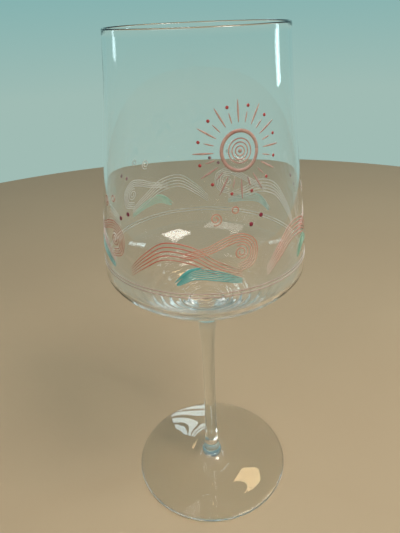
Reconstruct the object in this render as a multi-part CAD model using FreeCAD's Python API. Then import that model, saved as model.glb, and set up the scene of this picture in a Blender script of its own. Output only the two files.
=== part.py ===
import FreeCAD, Part
import math
import os

# A stemmed wine glass: a thin tapered bowl, a slim solid stem and a round foot, fused end to end, with a
# printed plain sun and a repeated wave band fired onto the outside of the bowl as thin films of enamel.
# Millimetres, +Z up, origin at the centre of the ring that the foot stands on. The sun faces -Y.
# Places on the bowl wall are given as (angle, height): degrees round from -Y towards +X, and height over
# the table.

# --- driving dimensions -------------------------------------------------------------------------------
HEIGHT = 225.0          # table to rim

RIM_RADIUS = 33.9       # outside of the lip
RIM_LEAN = 4.0          # degrees that the wall leans inwards at the lip
BELLY_RADIUS = 44.0     # widest outside radius of the bowl
BELLY_HEIGHT = 131.0
WALL = 1.2              # glass thickness at the lip and the upper wall
LIP_HEIGHT = HEIGHT - WALL / 2   # where the lip's half-round starts
FLOOR_HEIGHT = 109.4    # lowest point of the inside, on the axis

FLARE_RADIUS = 13.0     # where the bowl's rounded base turns down into the stem
FLARE_HEIGHT = 106.6
NECK_RADIUS = 5.2       # fused joint between bowl and stem
NECK_HEIGHT = 98.0
STEM_RADIUS = 3.0       # slimmest part of the stem
STEM_SLIM_HEIGHT = 58.0
ANKLE_RADIUS = 5.4      # fused joint between stem and foot
ANKLE_HEIGHT = 7.6

FOOT_RADIUS = 41.0
FOOT_EDGE = 1.9         # thickness of the rounded edge
FOOT_REST_RADIUS = 33.0  # inside of the flat ring that the glass stands on
FOOT_HOLLOW = 0.9       # rise of the shallow hollow under the foot

FILM = 0.12             # thickness of the fired enamel
FINE = 0.44             # width of a fine printed line
HAIR = 0.36             # width of the finest ones

SUN_ANGLE = 20.0        # centre of the sun
SUN_HEIGHT = 188.0
SUN_RADIUS = 7.0        # outside of the sun's ring
SUN_BAND = 1.2          # width of that ring
SUN_RAYS = 12           # long rays, evenly round the sun
RAY_START = 9.0         # from the sun's centre
RAY_END = 16.0
SHORT_RAY_END = 12.5
WAVES = 5               # repeats of the wave pattern round the bowl


# --- the bowl's outline -------------------------------------------------------------------------------
def bezier_at(poles, t):
    """Point of a cubic Bezier curve in the (radius, height) plane."""
    s = 1.0 - t
    weights = (s ** 3, 3 * s * s * t, 3 * s * t * t, t ** 3)
    radius = sum(w * p[0] for w, p in zip(weights, poles))
    height = sum(w * p[1] for w, p in zip(weights, poles))
    return radius, height


def wall_poles(inset):
    """Belly to lip, moved inwards by the glass thickness."""
    lean = math.radians(RIM_LEAN)
    belly = BELLY_RADIUS - inset
    lip = RIM_RADIUS - inset
    return ((belly, BELLY_HEIGHT), (belly, BELLY_HEIGHT + 20.0),
            (lip + 37.0 * math.sin(lean), LIP_HEIGHT - 37.0 * math.cos(lean)), (lip, LIP_HEIGHT))


OUTER_BASE = ((BELLY_RADIUS, BELLY_HEIGHT), (BELLY_RADIUS, BELLY_HEIGHT - 6.4),
              (FLARE_RADIUS + 16.0, FLARE_HEIGHT + 8.8), (FLARE_RADIUS, FLARE_HEIGHT))
FLARE = ((FLARE_RADIUS, FLARE_HEIGHT), (FLARE_RADIUS - 4.0, FLARE_HEIGHT - 2.2),
         (NECK_RADIUS + 0.9, NECK_HEIGHT + 3.1), (NECK_RADIUS, NECK_HEIGHT))
INNER_BASE = ((BELLY_RADIUS - WALL, BELLY_HEIGHT), (BELLY_RADIUS - WALL, BELLY_HEIGHT - 6.6),
              (19.0, FLOOR_HEIGHT), (0.0, FLOOR_HEIGHT))
OUTER_WALL = wall_poles(0.0)
INNER_WALL = wall_poles(WALL)


def wall_radius(height):
    """Outside radius of the bowl at a height, found by halving the curve's parameter."""
    poles = OUTER_WALL if height >= BELLY_HEIGHT else OUTER_BASE
    rising = poles[3][1] > poles[0][1]
    low, high = 0.0, 1.0
    for _ in range(40):
        middle = (low + high) / 2
        if (bezier_at(poles, middle)[1] < height) == rising:
            low = middle
        else:
            high = middle
    return bezier_at(poles, low)[0]


def on_wall(angle, height, lift=0.0):
    """Point on the bowl's outside, raised along the surface normal by lift."""
    step = 0.05
    slope = (wall_radius(height + step) - wall_radius(height - step)) / (2 * step)
    length = math.hypot(1.0, slope)
    radius = wall_radius(height) + lift / length
    turn = math.radians(angle)
    return FreeCAD.Vector(radius * math.sin(turn), -radius * math.cos(turn), height - lift * slope / length)


# --- glass --------------------------------------------------------------------------------------------
def vec(radius, height):
    return FreeCAD.Vector(radius, 0, height)


def curve(poles):
    bezier = Part.BezierCurve()
    bezier.setPoles([vec(*pole) for pole in poles])
    return bezier.toShape()


def line(start, end):
    return Part.makeLine(vec(*start), vec(*end))


def arc(start, middle, end):
    return Part.Arc(vec(*start), vec(*middle), vec(*end)).toShape()


def revolved(edges):
    face = Part.Face(Part.Wire(edges))
    return face.revolve(FreeCAD.Vector(0, 0, 0), FreeCAD.Vector(0, 0, 1), 360)


def bowl():
    """Open vessel with a fire-polished lip and a thick floor, ending in the flat joint with the stem."""
    lip_top = (RIM_RADIUS - WALL / 2, HEIGHT)
    return revolved([
        line((0, NECK_HEIGHT), (NECK_RADIUS, NECK_HEIGHT)),
        curve(FLARE[::-1]),
        curve(OUTER_BASE[::-1]),
        curve(OUTER_WALL),
        arc((RIM_RADIUS, LIP_HEIGHT), lip_top, (RIM_RADIUS - WALL, LIP_HEIGHT)),
        curve(INNER_WALL[::-1]),
        curve(INNER_BASE),
        line((0, FLOOR_HEIGHT), (0, NECK_HEIGHT)),
    ])


def stem():
    """Solid drawn rod, slimmest below its middle, flared into both joints."""
    upper = ((STEM_RADIUS, STEM_SLIM_HEIGHT), (STEM_RADIUS, STEM_SLIM_HEIGHT + 22.0),
             (NECK_RADIUS - 1.74, NECK_HEIGHT - 6.0), (NECK_RADIUS, NECK_HEIGHT))
    lower = ((ANKLE_RADIUS, ANKLE_HEIGHT), (ANKLE_RADIUS - 2.3, ANKLE_HEIGHT + 3.7),
             (STEM_RADIUS, STEM_SLIM_HEIGHT - 36.0), (STEM_RADIUS, STEM_SLIM_HEIGHT))
    return revolved([
        line((0, ANKLE_HEIGHT), (ANKLE_RADIUS, ANKLE_HEIGHT)),
        curve(lower),
        curve(upper),
        line((NECK_RADIUS, NECK_HEIGHT), (0, NECK_HEIGHT)),
        line((0, NECK_HEIGHT), (0, ANKLE_HEIGHT)),
    ])


def foot():
    """Pressed disc that rises to the stem, with a rounded edge and a shallow hollow underneath."""
    half = FOOT_EDGE / 2
    edge_start = FOOT_RADIUS - half
    top = ((edge_start, FOOT_EDGE), (20.0, FOOT_EDGE + 1.5), (ANKLE_RADIUS + 2.8, ANKLE_HEIGHT - 4.5),
           (ANKLE_RADIUS, ANKLE_HEIGHT))
    hollow = ((0, FOOT_HOLLOW), (FOOT_REST_RADIUS * 0.5, FOOT_HOLLOW), (FOOT_REST_RADIUS * 0.8, 0),
              (FOOT_REST_RADIUS, 0))
    return revolved([
        line((0, ANKLE_HEIGHT), (0, FOOT_HOLLOW)),
        curve(hollow),
        line((FOOT_REST_RADIUS, 0), (edge_start, 0)),
        arc((edge_start, 0), (FOOT_RADIUS, half), (edge_start, FOOT_EDGE)),
        curve(top),
        line((ANKLE_RADIUS, ANKLE_HEIGHT), (0, ANKLE_HEIGHT)),
    ])


# --- enamel films -------------------------------------------------------------------------------------
def strip(path, width, sections):
    """Film of enamel along path(t), t from 0 to 1, where path gives (angle, height) on the wall.

    width is a number or a function of t. The film stands on the glass, and it is one solid.
    """
    step = 0.002
    outlines = []
    for i in range(sections + 1):
        t = i / sections
        centre = on_wall(*path(t))
        out = (on_wall(*path(t), 1.0) - centre).normalize()
        along = on_wall(*path(min(t + step, 1.0))) - on_wall(*path(max(t - step, 0.0)))
        half = out.cross(along).normalize() * ((width(t) if callable(width) else width) / 2)
        rise = out * FILM
        corners = [centre - half, centre + half, centre + half + rise, centre - half + rise]
        outlines.append(Part.makePolygon(corners + corners[:1]))
    return Part.makeLoft(outlines, True, False)


def tapered(width, share=0.25):
    """Width of a stroke that thins to a third over a share of its length at both ends."""
    def at(t):
        end = min(t, 1.0 - t, share) / share
        return width * (0.34 + 0.66 * math.sin(end * math.pi / 2))
    return at


def swelling(width):
    """Width of a leaf-shaped stroke, thin at both ends and full in the middle."""
    return lambda t: 0.12 + width * math.sin(math.pi * t)


def placed(angle, height, x, y):
    """Place (x mm to the right, y mm up) of a centre on the wall."""
    return angle + math.degrees(x / wall_radius(height + y)), height + y


def polar(angle, height, radius, direction):
    """Place at a radius and a direction (degrees from the right, anticlockwise) of a centre on the wall."""
    turn = math.radians(direction)
    return placed(angle, height, radius * math.cos(turn), radius * math.sin(turn))


def circle_arc(angle, height, radius, start, end, width):
    """Part of a circle drawn on the wall."""
    def path(t):
        return polar(angle, height, radius, start + (end - start) * t)
    return strip(path, width, max(6, int(abs(end - start) / 10)))


def ring(angle, height, radius, width=FINE):
    """A full circle, drawn as two half circles that meet end to end."""
    return [circle_arc(angle, height, radius, start, start + 180, width) for start in (0, 180)]


def dot(angle, height, radius):
    """Round spot, thin enough and small enough to be flat."""
    centre = on_wall(angle, height)
    normal = on_wall(angle, height, 1.0) - centre
    return Part.makeCylinder(radius, FILM, centre, normal)


def bead(angle, height, radius, width=HAIR):
    """Small open ring."""
    centre = on_wall(angle, height)
    normal = on_wall(angle, height, 1.0) - centre
    disc = Part.makeCylinder(radius, FILM, centre, normal)
    return disc.cut(Part.makeCylinder(radius - width, 3 * FILM, centre - normal * FILM, normal))


def spoke(angle, height, direction, inner, outer, width):
    """Straight stroke that points away from a centre on the wall."""
    def path(t):
        return polar(angle, height, inner + (outer - inner) * t, direction)
    return strip(path, width, max(3, int((outer - inner) / 4)))


def spiral(angle, height, outer, turns, start, hand=1, inner=0.7, width=FINE):
    """Spiral that winds in from its outer radius; hand is 1 anticlockwise and -1 clockwise."""
    def path(t):
        return polar(angle, height, outer + (inner - outer) * t, start + hand * 360 * turns * t)
    return strip(path, width, int(turns * 16))


def smooth(points):
    """Path through a few (angle, height) points, as one Catmull-Rom curve."""
    ends = [tuple(2 * a - b for a, b in zip(points[0], points[1]))]
    tail = [tuple(2 * a - b for a, b in zip(points[-1], points[-2]))]
    knots = ends + [tuple(p) for p in points] + tail
    spans = len(points) - 1

    def path(t):
        place = min(t * spans, spans - 1e-9)
        i = int(place)
        u = place - i
        p0, p1, p2, p3 = knots[i:i + 4]
        return tuple(0.5 * (2 * b + (c - a) * u + (2 * a - 5 * b + 4 * c - d) * u * u
                            + (3 * b - a - 3 * c + d) * u ** 3) for a, b, c, d in zip(p0, p1, p2, p3))
    return path


def contour_lines(points, lines, spread, width=FINE, spread_start=0.2, spread_end=0.2):
    """Lines side by side along one smooth route.

    They are spread apart in its middle, and at each end by the given share of that.
    """
    route = smooth(points)

    def gather(t):
        end = spread_start + (spread_end - spread_start) * t
        return end + (1 - end) * math.sin(math.pi * t) ** 0.6

    strokes = []
    for k in range(lines):
        offset = (k - (lines - 1) / 2) * spread

        def path(t, offset=offset):
            angle, height = route(t)
            return angle, height + offset * gather(t)
        strokes.append(strip(path, tapered(width), 7 * (len(points) - 1)))
    return strokes


def roller(centre, gaps, route, width=FINE):
    """Breaking wave: lines that follow one route round a centre, each a gap further out.

    route is a list of (x share, y share, x shift, y shift): a point lies at the centre plus each share of the
    line's gap and plus the shift in mm.
    """
    strokes = []
    for gap in gaps:
        points = [placed(*centre, fx * gap + dx, fy * gap + dy) for fx, fy, dx, dy in route]
        strokes.append(strip(smooth(points), tapered(width, 0.12), 7 * (len(points) - 1)))
    return strokes


# --- the printed motifs -------------------------------------------------------------------------------
def sun_ring():
    return ring(SUN_ANGLE, SUN_HEIGHT, SUN_RADIUS - SUN_BAND / 2, SUN_BAND)


def sun_disc():
    """Plain rings inside the sun's ring, round a small spot."""
    rings = [stroke for radius in (1.6, 2.8, 4.0) for stroke in ring(SUN_ANGLE, SUN_HEIGHT, radius)]
    return rings + [dot(SUN_ANGLE, SUN_HEIGHT, 0.7)]


def sun_long_rays():
    return [spoke(SUN_ANGLE, SUN_HEIGHT, 360 * k / SUN_RAYS, RAY_START, RAY_END, tapered(0.6))
            for k in range(SUN_RAYS)]


def sun_short_rays():
    """A short ray between each pair of long ones."""
    return [spoke(SUN_ANGLE, SUN_HEIGHT, 360 * (k + 0.5) / SUN_RAYS, RAY_START, SHORT_RAY_END, tapered(FINE))
            for k in range(SUN_RAYS)]


def sun_sparks():
    """A spot beyond each short ray."""
    return [dot(*polar(SUN_ANGLE, SUN_HEIGHT, SHORT_RAY_END + 1.8, 360 * (k + 0.5) / SUN_RAYS), 0.55)
            for k in range(SUN_RAYS)]


def round_the_bowl(offset):
    """Angles of one place in every repeat of the wave pattern."""
    return [offset + 360 * k / WAVES for k in range(WAVES)]


def spray_spirals():
    """A little curl of spray over each repeat."""
    return [spiral(angle, 166.0, 2.3, 1.6, 250, 1, 0.45) for angle in round_the_bowl(6.0)]


def spray_rings():
    """A small open ring beside each curl of spray."""
    return [bead(angle, 168.5, 1.3) for angle in round_the_bowl(16.0)]


def spray_spots():
    """A spot of spray over each crest."""
    return [dot(angle, height, 0.8) for height, shift in ((162.5, 24.0), (165.0, 30.0))
            for angle in round_the_bowl(shift)]


def tide_line():
    """Two level lines under the waves, each drawn as two halves that meet end to end."""
    return [strip(lambda t, height=height, start=start: (start + 180.0 * t, height), HAIR, 48)
            for height in (136.6, 138.0) for start in (0.0, 180.0)]


def swell(start):
    """Broad swell of side-by-side lines, which rises and falls."""
    return contour_lines([(start, 143.0), (start + 9.0, 149.0), (start + 20.0, 154.0), (start + 34.0, 153.0),
                          (start + 46.0, 148.0), (start + 58.0, 144.5)], 5, 1.6, FINE, 0.5, 0.3)


def curl(start):
    """Crest with a roller at its end."""
    centre = (start + 58.0, 153.0)
    route = ((0.0, 0.8, -22.0, -5.0), (0.0, 0.9, -12.0, -3.0), (-0.6, 0.85, -2.0, 0.0), (0.1, 1.0, 0.0, 0.0),
             (0.9, 0.4, 0.0, 0.0), (0.75, -0.7, 0.0, 0.0), (0.0, -1.0, -1.5, -0.6))
    gaps = [3.9 + 0.95 * k for k in range(4)]
    return [spiral(*centre, 3.0, 2.0, 120, -1, 0.5)] + roller(centre, gaps, route)


def leaf(start):
    """Leaf-shaped wave low in front of the swell, with a full crest."""
    route = [(start, 141.5), (start + 9.0, 145.8), (start + 20.0, 145.0), (start + 32.0, 142.0)]
    crest = [(start - 1.0, 142.4), (start + 6.0, 147.0), (start + 13.0, 148.8)]
    return [strip(smooth(crest), swelling(1.2), 14)] + contour_lines(route, 6, 0.75, 0.4, 0.1, 0.4)


PARTS = {
    "bowl": bowl, "stem": stem, "foot": foot,
    "sun_ring": sun_ring, "sun_disc": sun_disc, "sun_long_rays": sun_long_rays,
    "sun_short_rays": sun_short_rays, "sun_sparks": sun_sparks,
    "spray_spirals": spray_spirals, "spray_rings": spray_rings, "spray_spots": spray_spots,
    "tide_line": tide_line,
}
LEAVES = ("teal", "green", "teal", "green", "teal")   # colour of the leaf-shaped wave in each repeat
for k, angle in enumerate(round_the_bowl(-40.0)):
    PARTS["swell_%d" % (k + 1)] = lambda angle=angle: swell(angle)
    PARTS["curl_%d" % (k + 1)] = lambda angle=angle: curl(angle)
    PARTS["%s_leaf_%d" % (LEAVES[k], k + 1)] = lambda angle=angle: leaf(angle + 26.0)


def main():
    os.makedirs("parts", exist_ok=True)
    for name, make in PARTS.items():
        made = make()
        shape = Part.makeCompound(made) if isinstance(made, list) else made
        shape.exportStep(os.path.join("parts", name + ".step"))


main()
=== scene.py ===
import math

import bmesh
import bpy
import numpy as np
from mathutils import Matrix, Vector


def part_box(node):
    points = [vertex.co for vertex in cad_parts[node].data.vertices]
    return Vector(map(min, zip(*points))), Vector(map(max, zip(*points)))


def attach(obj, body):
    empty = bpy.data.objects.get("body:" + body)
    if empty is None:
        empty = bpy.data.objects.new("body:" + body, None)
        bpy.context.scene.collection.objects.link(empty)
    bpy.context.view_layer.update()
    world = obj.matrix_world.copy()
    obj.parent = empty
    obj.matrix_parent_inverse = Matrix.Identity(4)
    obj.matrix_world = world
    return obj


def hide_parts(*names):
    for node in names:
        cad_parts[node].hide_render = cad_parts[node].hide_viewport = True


# A stemmed wine glass with a plain printed sun and a repeated wave band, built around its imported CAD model.
# Metres, +Z up, the sun on the -Y side. The bowl, stem and foot are turned from the same outlines as the CAD
# parts, with smooth walls, and each enamel film is laid back onto the curve of the bowl.

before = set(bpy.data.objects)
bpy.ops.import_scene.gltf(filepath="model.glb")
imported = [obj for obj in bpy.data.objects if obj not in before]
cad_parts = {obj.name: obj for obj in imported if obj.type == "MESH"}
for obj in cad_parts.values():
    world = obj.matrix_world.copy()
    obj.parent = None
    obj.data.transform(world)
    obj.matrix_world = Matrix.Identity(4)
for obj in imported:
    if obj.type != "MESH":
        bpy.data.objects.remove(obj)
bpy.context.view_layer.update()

# --- sizes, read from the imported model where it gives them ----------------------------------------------
BOWL_LOW, BOWL_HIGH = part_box("bowl")
FOOT_LOW, FOOT_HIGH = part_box("foot")
HEIGHT = BOWL_HIGH.z
BELLY_RADIUS = BOWL_HIGH.x
NECK_HEIGHT = BOWL_LOW.z
FOOT_RADIUS = FOOT_HIGH.x
ANKLE_HEIGHT = FOOT_HIGH.z
ANKLE_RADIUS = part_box("stem")[1].x

RIM_RADIUS = 0.0339        # outside of the lip
RIM_LEAN = math.radians(4.0)
BELLY_HEIGHT = 0.131       # widest part of the bowl
WALL = 0.0012              # glass thickness at the lip
LIP_HEIGHT = HEIGHT - WALL / 2
FLOOR_HEIGHT = 0.1094      # lowest point inside the bowl
FLARE_RADIUS = 0.013
FLARE_HEIGHT = 0.1066
NECK_RADIUS = 0.0052
STEM_RADIUS = 0.0030
STEM_SLIM_HEIGHT = 0.058
FOOT_EDGE = 0.0019
FOOT_REST_RADIUS = 0.033
FOOT_HOLLOW = 0.0009

SEGMENTS = 192             # round the axis
CAD_FILM = 0.00012         # thickness of a film in the CAD model
FILM_SINK = 0.00002        # how far a film's inner face lies in the glass
FILM_RISE = 0.00005        # how far its outer face stands proud
FILM_STEP = 0.0000015      # each film stands this much prouder than the one before
FILM_EDGE = 0.0012         # longest edge of a film's mesh
FILM_CUTS = 3              # rounds of halving, at most, to bring its edges under that
FILM_SHARP = 50.0          # degrees between faces where a film's shading breaks
SLOPE_STEP = 0.00005       # height each way over which the wall's slope is measured
FLOOR_GAP = 0.00005        # from the floor up to the foot
GLASS_IOR = 1.51           # soda glass


# --- outlines -----------------------------------------------------------------------------------------
def bezier(poles, steps):
    """Points of a cubic Bezier curve in the (radius, height) plane, both ends included."""
    p0, p1, p2, p3 = (np.array(pole) for pole in poles)
    t = np.linspace(0, 1, steps + 1)[:, None]
    s = 1 - t
    return s ** 3 * p0 + 3 * s * s * t * p1 + 3 * s * t * t * p2 + t ** 3 * p3


def half_round(radius, height, size, start, steps=16):
    """Half circle round a centre, from a start angle in degrees, turning anticlockwise."""
    turn = np.radians(start + 180 * np.linspace(0, 1, steps + 1))
    return np.stack([radius + size * np.cos(turn), height + size * np.sin(turn)], 1)


def wall_poles(inset):
    """Belly to lip, moved inwards by the glass thickness."""
    belly = BELLY_RADIUS - inset
    lip = RIM_RADIUS - inset
    return ((belly, BELLY_HEIGHT), (belly, BELLY_HEIGHT + 0.020),
            (lip + 0.037 * math.sin(RIM_LEAN), LIP_HEIGHT - 0.037 * math.cos(RIM_LEAN)), (lip, LIP_HEIGHT))


OUTER_WALL = wall_poles(0.0)
INNER_WALL = wall_poles(WALL)
OUTER_BASE = ((BELLY_RADIUS, BELLY_HEIGHT), (BELLY_RADIUS, BELLY_HEIGHT - 0.0064),
              (FLARE_RADIUS + 0.016, FLARE_HEIGHT + 0.0088), (FLARE_RADIUS, FLARE_HEIGHT))
FLARE = ((FLARE_RADIUS, FLARE_HEIGHT), (FLARE_RADIUS - 0.004, FLARE_HEIGHT - 0.0022),
         (NECK_RADIUS + 0.0009, NECK_HEIGHT + 0.0031), (NECK_RADIUS, NECK_HEIGHT))
INNER_BASE = ((BELLY_RADIUS - WALL, BELLY_HEIGHT), (BELLY_RADIUS - WALL, BELLY_HEIGHT - 0.0066),
              (0.019, FLOOR_HEIGHT), (0.0, FLOOR_HEIGHT))
STEM_UPPER = ((STEM_RADIUS, STEM_SLIM_HEIGHT), (STEM_RADIUS, STEM_SLIM_HEIGHT + 0.022),
              (NECK_RADIUS - 0.00174, NECK_HEIGHT - 0.006), (NECK_RADIUS, NECK_HEIGHT))
STEM_LOWER = ((ANKLE_RADIUS, ANKLE_HEIGHT), (ANKLE_RADIUS - 0.0023, ANKLE_HEIGHT + 0.0037),
              (STEM_RADIUS, STEM_SLIM_HEIGHT - 0.036), (STEM_RADIUS, STEM_SLIM_HEIGHT))
FOOT_TOP = ((FOOT_RADIUS - FOOT_EDGE / 2, FOOT_EDGE), (0.020, FOOT_EDGE + 0.0015),
            (ANKLE_RADIUS + 0.0028, ANKLE_HEIGHT - 0.0045), (ANKLE_RADIUS, ANKLE_HEIGHT))
FOOT_UNDER = ((0.0, FOOT_HOLLOW), (FOOT_REST_RADIUS * 0.5, FOOT_HOLLOW), (FOOT_REST_RADIUS * 0.8, 0.0),
              (FOOT_REST_RADIUS, 0.0))

OUTSIDE = np.concatenate([bezier(OUTER_BASE[::-1], 400), bezier(OUTER_WALL, 400)[1:]])


def wall_radius(height):
    """Outside radius of the bowl at each height."""
    return np.interp(height, OUTSIDE[:, 1], OUTSIDE[:, 0])


# --- materials ----------------------------------------------------------------------------------------
def new_material(name):
    """A material, its node tree and its Principled shader."""
    material = bpy.data.materials.new(name)
    material.use_nodes = True
    tree = material.node_tree
    return material, tree, tree.nodes["Principled BSDF"]


def node(tree, kind, settings=None, **inputs):
    """Adds a shader node. settings are its properties.

    inputs are its sockets by name, or _0, _1 ... by number, and each gets a value or another node's socket.
    """
    made = tree.nodes.new(kind)
    for key, value in (settings or {}).items():
        setattr(made, key, value)
    for key, value in inputs.items():
        socket = made.inputs[int(key[1:])] if key[0] == "_" else made.inputs[key]
        if isinstance(value, bpy.types.NodeSocket):
            tree.links.new(value, socket)
        else:
            socket.default_value = value
    return made


def noise(tree, place, scale, detail=2.0, distortion=0.0):
    made = node(tree, "ShaderNodeTexNoise", Vector=place, Scale=scale, Detail=detail, Distortion=distortion)
    return made.outputs[0]


def remap(tree, value, source, target):
    """Stretches value from one range, (low, high), to another, and stops at its ends."""
    made = node(tree, "ShaderNodeMapRange", _0=value, _1=source[0], _2=source[1], _3=target[0], _4=target[1])
    return made.outputs[0]


def math_node(tree, operation, first, second=0.0):
    return node(tree, "ShaderNodeMath", {"operation": operation}, _0=first, _1=second).outputs[0]


def mixed(tree, share, first, second):
    """Colour between first and second."""
    made = node(tree, "ShaderNodeMix", {"data_type": "RGBA"}, _0=share, _6=first, _7=second)
    return made.outputs[2]


def rgb(red, green, blue):
    """Linear colour from the 0-255 numbers of a screen colour."""
    linear = [((c / 255 + 0.055) / 1.055) ** 2.4 if c > 10 else c / 255 / 12.92 for c in (red, green, blue)]
    return (*linear, 1.0)


def glass(name, tint, ripple):
    """Clear soda glass with faint smears, and a slow wobble of the surface from its making.

    With ripple, rings round the axis grow from nothing under the belly to full strength at the flare.
    """
    material, tree, shader = new_material(name)
    shader.inputs["Base Color"].default_value = tint
    shader.inputs["Transmission Weight"].default_value = 1.0
    shader.inputs["IOR"].default_value = GLASS_IOR
    place = node(tree, "ShaderNodeTexCoord").outputs["Object"]
    smear = noise(tree, place, scale=45.0, detail=4.0, distortion=0.6)
    tree.links.new(remap(tree, smear, (0.5, 0.75), (0.0, 0.05)), shader.inputs["Roughness"])
    wobble = noise(tree, place, scale=55.0, detail=1.0)
    heights = math_node(tree, "MULTIPLY", wobble, 0.5)
    if ripple:
        axes = node(tree, "ShaderNodeSeparateXYZ", _0=place)
        flat = node(tree, "ShaderNodeCombineXYZ", X=axes.outputs[0], Y=axes.outputs[1]).outputs[0]
        wave = node(tree, "ShaderNodeTexWave", {"wave_type": "RINGS", "rings_direction": "Z"}, Vector=flat,
                    Scale=75.0, Distortion=0.6, Detail=0.5)
        low_down = remap(tree, axes.outputs[2], (BELLY_HEIGHT - 0.010, FLARE_HEIGHT + 0.003), (0.0, 3.2))
        heights = math_node(tree, "ADD", heights, math_node(tree, "MULTIPLY", wave.outputs["Fac"], low_down))
    bump = node(tree, "ShaderNodeBump", Strength=0.5, Distance=0.0002, Height=heights)
    tree.links.new(bump.outputs[0], shader.inputs["Normal"])
    return material


def fused_joint():
    """Where two glass pieces are melted into one, nothing shows."""
    material, tree, shader = new_material("fused_joint")
    clear = node(tree, "ShaderNodeBsdfTransparent")
    tree.links.new(clear.outputs[0], tree.nodes["Material Output"].inputs["Surface"])
    tree.nodes.remove(shader)
    return material


DRIFT_LOW = 0.36           # noise values between which an enamel runs through its colours
DRIFT_HIGH = 0.64


def enamel(name, colours, back):
    """Fired enamel: colours that run into each other over a wave's length, fine mottling and a satin skin.

    back is its colour from inside the glass, painted far paler than the front: painted light on the inner
    face, which sits in shade.
    """
    material, tree, shader = new_material(name)
    place = node(tree, "ShaderNodeTexCoord").outputs["Object"]
    drift = noise(tree, place, scale=62.0, detail=2.0, distortion=0.4)
    ramp = node(tree, "ShaderNodeValToRGB", Fac=drift)
    stops = ramp.color_ramp.elements
    for i, colour in enumerate(colours):
        at = DRIFT_LOW + (DRIFT_HIGH - DRIFT_LOW) * i / (len(colours) - 1)
        stop = stops[i] if i < 2 else stops.new(at)
        stop.position = at
        stop.color = colour
    grain = noise(tree, place, scale=2600.0, detail=3.0)
    mottle = remap(tree, grain, (0.3, 0.7), (0.86, 1.12))
    grainy = node(tree, "ShaderNodeHueSaturation", Value=mottle, Color=ramp.outputs[0]).outputs[0]
    geometry = node(tree, "ShaderNodeNewGeometry")
    outwards = node(tree, "ShaderNodeVectorMath", {"operation": "MULTIPLY"}, _0=place, _1=(1.0, 1.0, 0.0))
    facing = node(tree, "ShaderNodeVectorMath", {"operation": "DOT_PRODUCT"}, _0=outwards.outputs[0],
                  _1=geometry.outputs["True Normal"])
    # Faces turned towards the axis take the back colour, far paler than the front: painted light on the
    # shaded inner face of the film.
    inside = math_node(tree, "LESS_THAN", facing.outputs["Value"], 0.0)
    tree.links.new(mixed(tree, inside, grainy, back), shader.inputs["Base Color"])
    tree.links.new(remap(tree, grain, (0.3, 0.7), (0.3, 0.5)), shader.inputs["Roughness"])
    bump = node(tree, "ShaderNodeBump", Strength=0.35, Distance=0.00003, Height=grain)
    tree.links.new(bump.outputs[0], shader.inputs["Normal"])
    return material


# --- glass pieces -------------------------------------------------------------------------------------
def lathe(name, runs, materials):
    """Closed body turned round Z, from one point of the axis to another.

    runs are (points, index of the material), and each starts where the one before ends.
    """
    points = [runs[0][0][0]]
    indices = []
    for run, index in runs:
        points += list(run[1:])
        indices += [index] * (len(run) - 1)
    turns = [2 * math.pi * k / SEGMENTS for k in range(SEGMENTS)]
    bm = bmesh.new()
    rings = []
    for radius, height in points:
        if radius < 1e-9:
            rings.append([bm.verts.new((0, 0, height))] * SEGMENTS)
        else:
            rings.append([bm.verts.new((radius * math.cos(a), radius * math.sin(a), height)) for a in turns])
    for low, high, index in zip(rings, rings[1:], indices):
        for j in range(SEGMENTS):
            k = (j + 1) % SEGMENTS
            corners = list(dict.fromkeys((low[j], low[k], high[k], high[j])))
            face = bm.faces.new(corners)
            face.material_index = index
            face.smooth = index == 0
    mesh = bpy.data.meshes.new(name)
    bm.to_mesh(mesh)
    bm.free()
    piece = bpy.data.objects.new(name, mesh)
    bpy.context.scene.collection.objects.link(piece)
    for material in materials:
        mesh.materials.append(material)
    return piece


def flat_run(start, end, steps=4):
    """Points of a straight line in the (radius, height) plane."""
    return np.linspace(start, end, steps + 1)


def build_glass():
    """Bowl, stem and foot, each closed, with the glass on its skin and the fused joint on its flat faces."""
    joint = fused_joint()
    bowl_glass = glass("bowl_glass", tint=(0.985, 0.992, 0.988, 1.0), ripple=True)
    rod_glass = glass("rod_glass", tint=(0.93, 0.95, 0.94, 1.0), ripple=False)
    neck = (NECK_RADIUS, NECK_HEIGHT)
    ankle = (ANKLE_RADIUS, ANKLE_HEIGHT)
    lip = half_round(RIM_RADIUS - WALL / 2, LIP_HEIGHT, WALL / 2, 0)
    edge = half_round(FOOT_RADIUS - FOOT_EDGE / 2, FOOT_EDGE / 2, FOOT_EDGE / 2, -90)
    shapes = {
        "bowl": (bowl_glass, [
            (flat_run((0, NECK_HEIGHT), neck), 1), (bezier(FLARE[::-1], 24), 0),
            (bezier(OUTER_BASE[::-1], 60), 0), (bezier(OUTER_WALL, 50), 0), (lip, 0),
            (bezier(INNER_WALL[::-1], 50), 0), (bezier(INNER_BASE, 60), 0)]),
        "stem": (rod_glass, [
            (flat_run((0, ANKLE_HEIGHT), ankle), 1), (bezier(STEM_LOWER, 60), 0),
            (bezier(STEM_UPPER, 60), 0), (flat_run(neck, (0, NECK_HEIGHT)), 1)]),
        "foot": (rod_glass, [
            (bezier(FOOT_UNDER, 40), 0), (flat_run((FOOT_REST_RADIUS, 0), edge[0]), 0), (edge, 0),
            (bezier(FOOT_TOP, 70), 0), (flat_run(ankle, (0, ANKLE_HEIGHT)), 1)]),
    }
    for part, (material, runs) in shapes.items():
        piece = lathe("glass_" + part, runs, [material, joint])
        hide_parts(part)
        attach(piece, "root")


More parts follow.
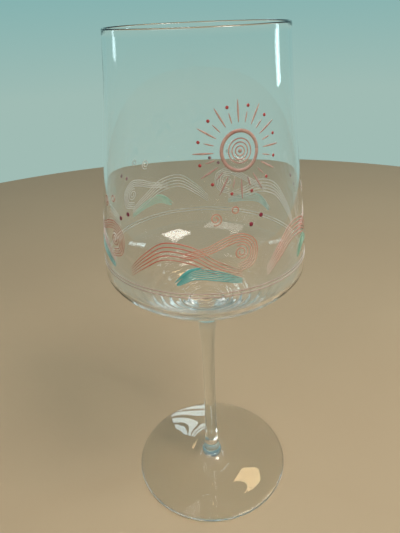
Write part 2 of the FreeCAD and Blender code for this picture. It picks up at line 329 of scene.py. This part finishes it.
# --- print --------------------------------------------------------------------------------------------
def film(part, material, order):
    """The enamel of one CAD node, split finely enough to follow the wall and laid onto it."""
    bm = bmesh.new()
    bm.from_mesh(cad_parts[part].data)
    bmesh.ops.remove_doubles(bm, verts=bm.verts, dist=1e-7)
    for _ in range(FILM_CUTS):
        long_edges = [e for e in bm.edges if e.calc_length() > FILM_EDGE]
        bmesh.ops.subdivide_edges(bm, edges=long_edges, cuts=1)
    bmesh.ops.triangulate(bm, faces=bm.faces)
    mesh = bpy.data.meshes.new("print_" + part)
    bm.to_mesh(mesh)
    bm.free()
    at = np.zeros(len(mesh.vertices) * 3)
    mesh.vertices.foreach_get("co", at)
    at = at.reshape(-1, 3)
    radius = np.hypot(at[:, 0], at[:, 1])
    slope = (wall_radius(at[:, 2] + SLOPE_STEP) - wall_radius(at[:, 2] - SLOPE_STEP)) / (2 * SLOPE_STEP)
    length = np.hypot(1.0, slope)
    lift = (radius - wall_radius(at[:, 2])) / length
    foot_height = at[:, 2] + lift * slope / length
    laid = np.where(lift > CAD_FILM / 2, FILM_RISE + FILM_STEP * order, -FILM_SINK)
    new_radius = wall_radius(foot_height) + laid / length
    at[:, :2] *= (new_radius / radius)[:, None]
    at[:, 2] = foot_height - laid * slope / length
    mesh.vertices.foreach_set("co", at.ravel())
    mesh.validate()
    mesh.shade_smooth()
    mesh.set_sharp_from_angle(angle=math.radians(FILM_SHARP))
    mesh.materials.append(material)
    piece = bpy.data.objects.new("print_" + part, mesh)
    bpy.context.scene.collection.objects.link(piece)
    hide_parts(part)
    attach(piece, "root")


def build_print():
    """One film for each CAD node whose slot is an enamel."""
    # Each enamel's last colour, for its face inside the glass, is near white: painted light on a face that
    # sits in shade.
    looks = {
        "enamel_rose": enamel("rose_enamel", [rgb(196, 100, 76), rgb(190, 126, 102), rgb(198, 150, 128)],
                              rgb(248, 238, 230)),
        # The cream enamel's front colours are darkened to a brownish cream: painted shade, as on a print seen
        # against the light.
        "enamel_cream": enamel("cream_enamel", [rgb(162, 112, 100), rgb(182, 142, 126), rgb(168, 126, 114)],
                               rgb(250, 242, 234)),
        "enamel_red": enamel("red_enamel", [rgb(182, 72, 66), rgb(166, 56, 56)], rgb(226, 150, 140)),
        "enamel_maroon": enamel("maroon_enamel", [rgb(134, 28, 46), rgb(116, 24, 44)], rgb(190, 110, 118)),
        "enamel_teal": enamel("teal_enamel", [rgb(70, 148, 144), rgb(104, 176, 170)], rgb(208, 226, 216)),
        "enamel_green": enamel("green_enamel", [rgb(82, 128, 98), rgb(110, 154, 128)], rgb(196, 226, 204)),
    }
    slots = {part: shape.material_slots[0].name for part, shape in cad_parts.items()}
    prints = sorted(part for part in slots if slots[part] in looks)
    for order, part in enumerate(prints):
        film(part, looks[slots[part]], order)


# --- stage --------------------------------------------------------------------------------------------
FLOOR_REACH = 0.62             # radius of the floor


def build_stage():
    material, tree, shader = new_material("floor")
    place = node(tree, "ShaderNodeTexCoord").outputs["Object"]
    cloud = noise(tree, place, scale=6.0, detail=3.0)
    tree.links.new(mixed(tree, cloud, rgb(188, 162, 130), rgb(198, 174, 141)), shader.inputs["Base Color"])
    shader.inputs["Roughness"].default_value = 0.6
    bm = bmesh.new()
    bmesh.ops.create_circle(bm, cap_ends=True, segments=128, radius=FLOOR_REACH)
    mesh = bpy.data.meshes.new("floor")
    bm.to_mesh(mesh)
    bm.free()
    floor = bpy.data.objects.new("floor", mesh)
    floor.location.z = FOOT_LOW.z - FLOOR_GAP
    mesh.materials.append(material)
    bpy.context.scene.collection.objects.link(floor)


def area_light(name, place, aim, size, watts, colour):
    """Rectangular softbox that faces aim and is not seen itself."""
    data = bpy.data.lights.new(name, "AREA")
    data.shape = "RECTANGLE"
    data.size, data.size_y = size
    data.energy = watts
    data.color = colour
    lamp = bpy.data.objects.new(name, data)
    lamp.location = place
    lamp.rotation_euler = (Vector(aim) - Vector(place)).to_track_quat("-Z", "Y").to_euler()
    lamp.visible_camera = False
    bpy.context.scene.collection.objects.link(lamp)


def build_lights():
    """Cool strips behind and beside the glass, warm boxes over and in front of it, and a soft sky."""
    middle = (0, 0, HEIGHT / 2)
    cool = (0.74, 0.94, 1.0)
    warm = (1.0, 0.94, 0.86)
    golden = (1.0, 0.72, 0.38)
    for k in range(4):
        area_light("window_back_%d" % k, (-0.12, 1.12, 0.82 + 0.05 * k), middle, (0.2, 0.026), 0.12, cool)
    area_light("window_left", (-0.85, 0.35, 0.5), middle, (0.08, 0.6), 0.6, cool)
    area_light("window_right", (0.85, 0.25, 0.5), middle, (0.12, 0.7), 1.6, cool)
    area_light("gold_lamp", (0.13, 0.64, 0.9), middle, (0.1, 0.06), 0.2, golden)
    area_light("key", (0.35, -0.25, 0.8), middle, (0.3, 0.3), 4.4, warm)
    area_light("front_fill", (-0.6, -1.0, 0.9), middle, (1.1, 1.1), 7.4, warm)
    world = bpy.data.worlds.new("studio")
    bpy.context.scene.world = world
    world.use_nodes = True
    tree = world.node_tree
    way = node(tree, "ShaderNodeTexCoord").outputs["Generated"]
    height = node(tree, "ShaderNodeSeparateXYZ", _0=way).outputs[2]
    ramp = node(tree, "ShaderNodeValToRGB", Fac=remap(tree, height, (-0.2, 1.0), (0.0, 1.0)))
    stops = ramp.color_ramp.elements
    stops[0].position, stops[0].color = 0.05, rgb(160, 188, 180)
    stops[1].position, stops[1].color = 0.75, rgb(84, 98, 104)
    stops.new(0.2).color = rgb(132, 178, 176)
    stops.new(0.36).color = rgb(116, 152, 156)
    background = tree.nodes["Background"]
    tree.links.new(ramp.outputs[0], background.inputs["Color"])
    background.inputs["Strength"].default_value = 1.0


# --- camera -------------------------------------------------------------------------------------------
EYE = (0.0, -0.1911, 0.2297)   # close to the glass, a little over the lip, looking down
LENS = 32.08                   # mm, on a 36 mm sensor
YAW, PITCH, ROLL = (math.radians(a) for a in (-0.70, 28.50, -2.47))


def build_camera():
    data = bpy.data.cameras.new("camera")
    data.lens = LENS
    data.sensor_width = 36.0
    data.clip_start = 0.01
    camera = bpy.data.objects.new("camera", data)
    ahead = Vector((math.sin(YAW), math.cos(YAW), 0))
    right = Vector((math.cos(YAW), -math.sin(YAW), 0))
    up = Vector((0, 0, 1))
    look = ahead * math.cos(PITCH) - up * math.sin(PITCH)
    head = up * math.cos(PITCH) + ahead * math.sin(PITCH)
    side = right * math.cos(ROLL) + head * math.sin(ROLL)
    crown = head * math.cos(ROLL) - right * math.sin(ROLL)
    turn = Matrix((side, crown, -look)).transposed()
    camera.matrix_world = Matrix.Translation(EYE) @ turn.to_4x4()
    bpy.context.scene.collection.objects.link(camera)
    bpy.context.scene.camera = camera


def set_look():
    """Plain colour, and enough bounces for light to get through both walls of the bowl."""
    scene = bpy.context.scene
    scene.view_settings.view_transform = "Standard"
    scene.cycles.max_bounces = 56
    scene.cycles.transmission_bounces = 40
    scene.cycles.transparent_max_bounces = 16
    scene.cycles.glossy_bounces = 40
    scene.cycles.blur_glossy = 0.0
    scene.cycles.sample_clamp_indirect = 8.0


build_glass()
build_print()
build_stage()
build_lights()
build_camera()
set_look()
